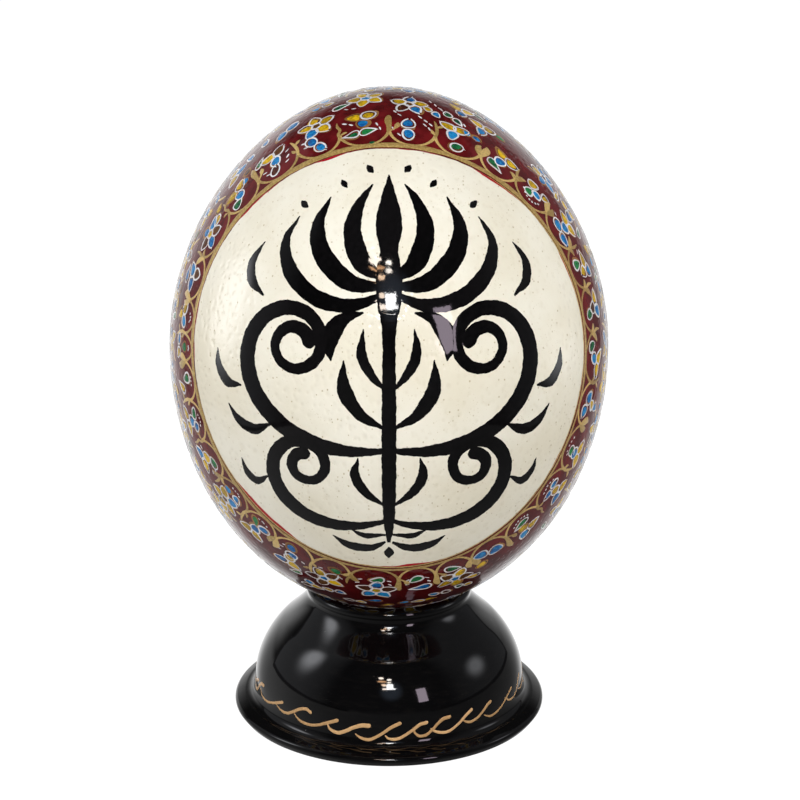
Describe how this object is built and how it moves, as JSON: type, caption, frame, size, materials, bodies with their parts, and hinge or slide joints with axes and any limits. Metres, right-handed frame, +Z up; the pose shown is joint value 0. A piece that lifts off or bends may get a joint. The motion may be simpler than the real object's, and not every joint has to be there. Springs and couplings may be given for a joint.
{
  "type": "painted ostrich egg on a stand",
  "caption": "Blown ostrich egg with a painted floral ground and an ivory front panel, resting upright in a turned, black lacquered stand with a flared foot.",
  "frame": {"origin": "middle of the stand's flat underside, on the surface it stands on", "axes": "+Z up along the egg's long axis, -Y out of the front, where the ivory panel is"},
  "size_m": [0.13, 0.13, 0.1929],
  "materials": {
    "egg_shell": "ivory eggshell with fine pores under clear gloss lacquer",
    "black_lacquer": "turned wood under high-gloss black lacquer",
    "crimson_paint": "thin crimson paint under clear gloss lacquer",
    "gold_paint": "fine brushed gold paint with a soft metallic gleam",
    "black_paint": "opaque black brushwork under clear gloss lacquer",
    "yellow_paint": "thick yellow enamel",
    "blue_paint": "thick blue enamel",
    "green_paint": "thick green enamel",
    "white_paint": "fine white enamel line work and dots"
  },
  "bodies": {
    "root": {"egg": "egg_shell", "stand": "black_lacquer"}
  },
  "joints": []
}
